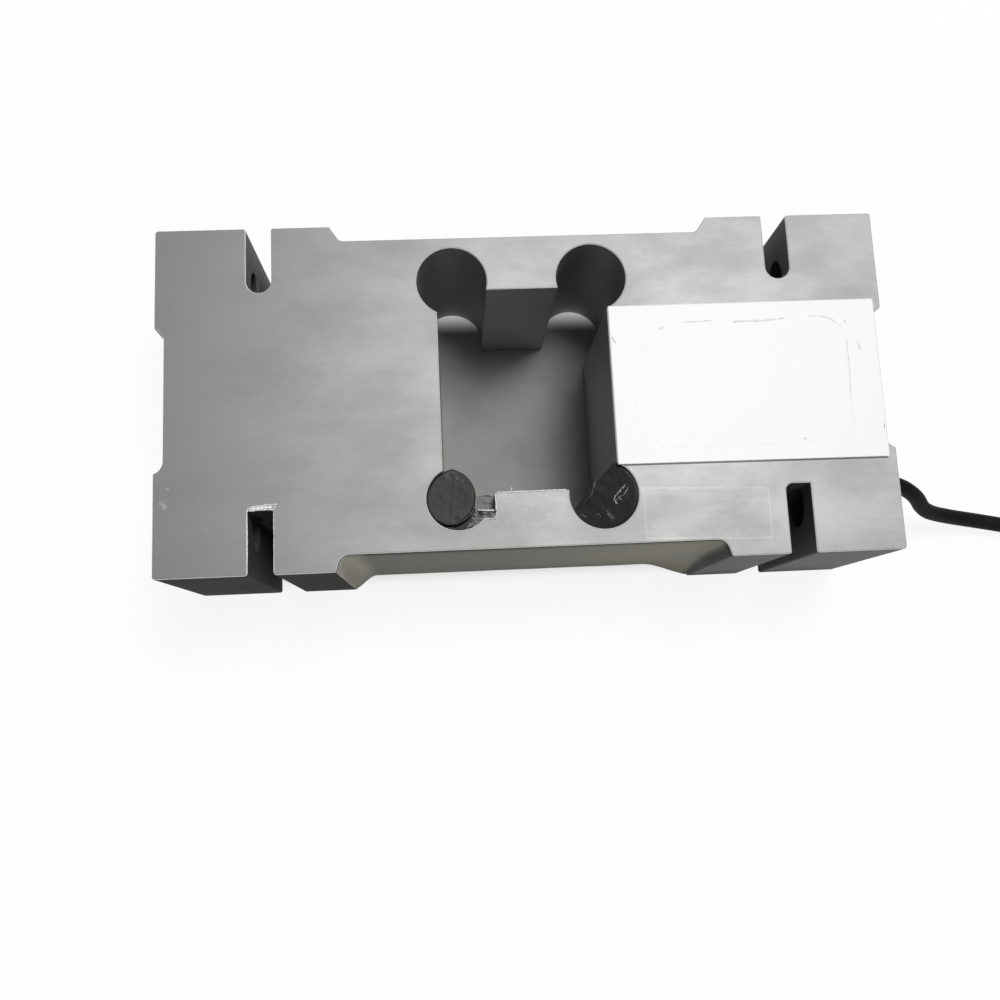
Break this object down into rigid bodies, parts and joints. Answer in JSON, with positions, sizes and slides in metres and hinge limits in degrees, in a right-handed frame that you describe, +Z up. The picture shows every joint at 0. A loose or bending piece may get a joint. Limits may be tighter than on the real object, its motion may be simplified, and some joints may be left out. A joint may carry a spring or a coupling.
{
  "type": "weighing load cell",
  "caption": "Machined aluminium single-point weighing load cell with a windowed measuring section, slotted mounting ends, a bare white label and a coiled signal cable.",
  "frame": {"origin": "centre of the body's lower side face, on the surface that the cell lies on", "axes": "+X along the body towards the cable's end, +Y the direction that it weighs in, +Z up across the body's width, towards the face with the label"},
  "size_m": [0.3089, 0.084, 0.0481],
  "materials": {
    "aluminium_block": "milled and lightly brushed, satin",
    "sealing_coat": "smooth satin sealing coat",
    "cover_plate": "brushed",
    "gasket_film": "adhesive film",
    "label_film": "white satin film, bare",
    "foam": "closed-cell foam",
    "board": "lacquered",
    "resistor_body": "lacquered",
    "bobbin": "wound",
    "chip": "matt",
    "loom_sleeve": "smooth sleeve",
    "gauge_foil": "etched foil on film",
    "terminal": "copper-clad strip",
    "grey_rubber": "matt elastomer",
    "black_rubber": "smooth elastomer",
    "compound": "cured sealing compound",
    "core_bundle": "insulated wire",
    "ferrule": "turned and crimped",
    "relief_rubber": "moulded",
    "cable_jacket": "matt jacket",
    "core_red": "insulated wire",
    "core_black": "insulated wire",
    "core_green": "insulated wire",
    "core_white": "insulated wire",
    "drain_wire": "tinned strand"
  },
  "bodies": {
    "root": {"body": "aluminium_block", "recess_coat": "sealing_coat", "circuit_cover": "cover_plate", "cover_gasket": "gasket_film", "label": "label_film", "board_pad": "foam", "circuit_board": "board", "zero_resistor": "resistor_body", "span_resistor": "resistor_body", "temperature_resistor": "bobbin", "input_resistor": "chip", "bridge_loom": "loom_sleeve", "signal_loom": "loom_sleeve", "gauge_left_back": "gauge_foil", "gauge_left_front": "gauge_foil", "gauge_right_back": "gauge_foil", "gauge_right_front": "gauge_foil", "terminal_left": "terminal", "terminal_right": "terminal", "plug_left": "grey_rubber", "plug_right": "black_rubber", "compound_left": "compound", "compound_right": "compound", "cable_cores": "core_bundle", "cable_ferrule": "ferrule", "strain_relief": "relief_rubber", "cable_inner": "cable_jacket", "cable": "cable_jacket", "cable_coil": "cable_jacket", "cable_end": "cable_jacket", "core_red": "core_red", "core_black": "core_black", "core_green": "core_green", "core_white": "core_white", "shield_drain": "drain_wire"}
  },
  "joints": []
}
